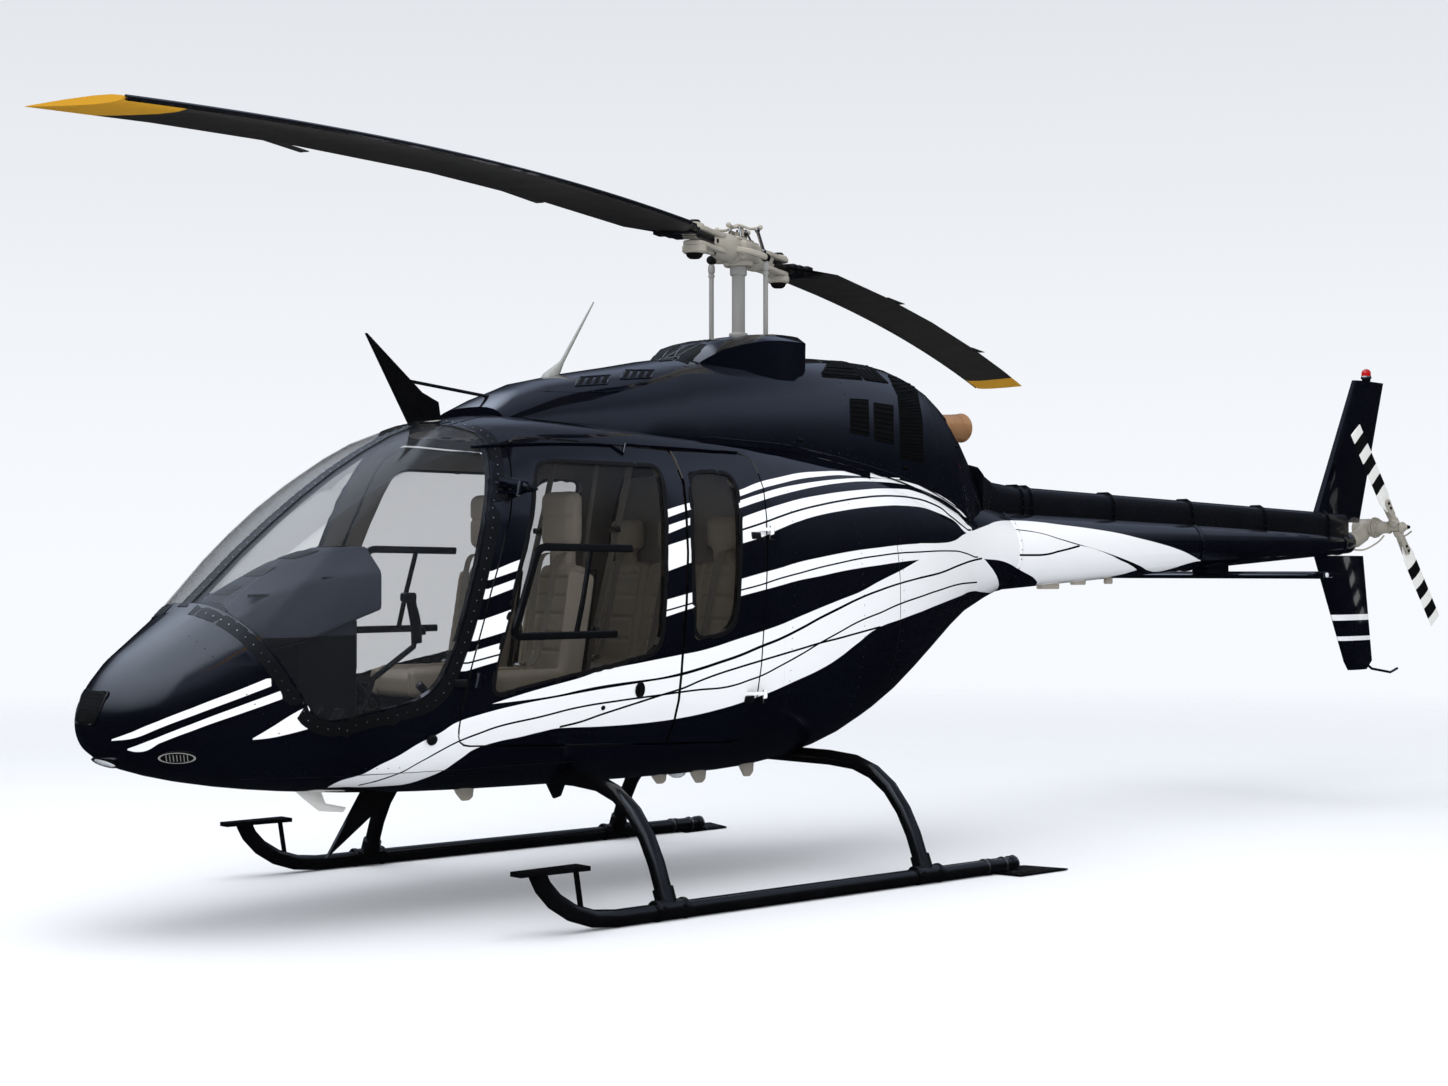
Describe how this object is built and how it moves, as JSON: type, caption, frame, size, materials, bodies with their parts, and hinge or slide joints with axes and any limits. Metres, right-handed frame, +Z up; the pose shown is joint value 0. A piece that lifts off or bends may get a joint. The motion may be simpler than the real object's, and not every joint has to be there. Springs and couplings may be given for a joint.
{
  "type": "light single-turbine helicopter",
  "caption": "Light helicopter on high skids with a rounded glazed cabin, hinged doors, a teetering main rotor, a tapered tail boom and a side tail rotor, parked with its rotors stopped.",
  "frame": {"origin": "on the ground, in the middle of the overall box that the fuselage, skids and stopped rotor blades fill; the main rotor mast is 0.829 m ahead of it", "axes": "+Z up, -Y is the way the nose points, +X is the port side"},
  "size_m": [4.9928, 11.3248, 3.279],
  "materials": {
    "navy_paint": "very dark navy gloss paint with white stripes",
    "cover_paint": "dark grey-green satin paint",
    "glass": "lightly tinted clear acrylic",
    "gear_paint": "black gloss paint",
    "white_paint": "white satin paint",
    "blade_paint": "dark grey satin paint with yellow tips",
    "hub_metal": "grey primer and bare aluminium",
    "exhaust_metal": "heat-tinted steel",
    "seat_leather": "grey-beige leather",
    "dark_plastic": "dark grey textured plastic",
    "floor_cover": "dark carpet"
  },
  "bodies": {
    "airframe": {"cabin_floor": "floor_cover", "cabin_roof": "navy_paint", "cabin_side_port": "navy_paint", "cabin_side_starboard": "navy_paint", "cyclic_port": "dark_plastic", "cyclic_starboard": "dark_plastic", "engine_block": "hub_metal", "engine_cowl": "navy_paint", "exhaust_stack": "exhaust_metal", "forward_cowl": "navy_paint", "front_cross_tube": "gear_paint", "instrument_console": "dark_plastic", "lower_fin": "navy_paint", "lower_hull": "navy_paint", "lower_wire_cutter": "gear_paint", "mast_fairing": "navy_paint", "nose_cowl": "navy_paint", "rear_cross_tube": "gear_paint", "rear_fuselage": "navy_paint", "seat_front_port": "seat_leather", "seat_front_starboard": "seat_leather", "seat_rear": "seat_leather", "shaft_cover": "cover_paint", "skid_port": "gear_paint", "skid_starboard": "gear_paint", "stabilizer": "navy_paint", "tail_boom": "navy_paint", "tail_gearbox": "hub_metal", "transmission_cowl": "navy_paint", "transmission_housing": "hub_metal", "upper_fin": "navy_paint", "upper_wire_cutter": "gear_paint", "whip_antenna": "white_paint", "window_rear_starboard": "glass", "windshield_frame": "navy_paint", "windshield_port": "glass", "windshield_starboard": "glass"},
    "main_rotor": {"mast": "hub_metal", "rotor_hub": "hub_metal", "swashplate": "hub_metal", "pitch_link_port": "hub_metal", "pitch_link_starboard": "hub_metal", "rotor_blade_port": "blade_paint", "rotor_blade_starboard": "blade_paint"},
    "tail_rotor": {"tail_rotor_hub": "hub_metal", "tail_blade_upper": "white_paint", "tail_blade_lower": "white_paint"},
    "front_port_door": {"door_front_port": "navy_paint", "window_front_port": "glass"},
    "front_starboard_door": {"door_front_starboard": "navy_paint", "window_front_starboard": "glass"},
    "rear_port_door": {"door_rear_port": "navy_paint", "window_rear_port": "glass"}
  },
  "joints": [
    {"name": "main_rotor_spin", "type": "hinge", "parent": "airframe", "child": "main_rotor", "pos_m": [0, -0.8287, 3.141], "axis": [0, 0, 1], "continuous": true},
    {"name": "tail_rotor_spin", "type": "hinge", "parent": "airframe", "child": "tail_rotor", "pos_m": [0.235, 5.1013, 1.796], "axis": [1, 0, 0], "continuous": true},
    {"name": "front_port_door_hinge", "type": "hinge", "parent": "airframe", "child": "front_port_door", "pos_m": [0.72924, -2.98858, 1.03], "axis": [0.0686, -0.2989, -0.9518], "range_deg": [0, 75]},
    {"name": "front_starboard_door_hinge", "type": "hinge", "parent": "airframe", "child": "front_starboard_door", "pos_m": [-0.72924, -2.98858, 1.03], "axis": [0.0686, 0.2989, 0.9518], "range_deg": [0, 75]},
    {"name": "rear_port_door_hinge", "type": "hinge", "parent": "airframe", "child": "rear_port_door", "pos_m": [0.74876, -1.3427, 0.9], "axis": [-0.0642, 0.1189, 0.9908], "range_deg": [0, 80]}
  ]
}
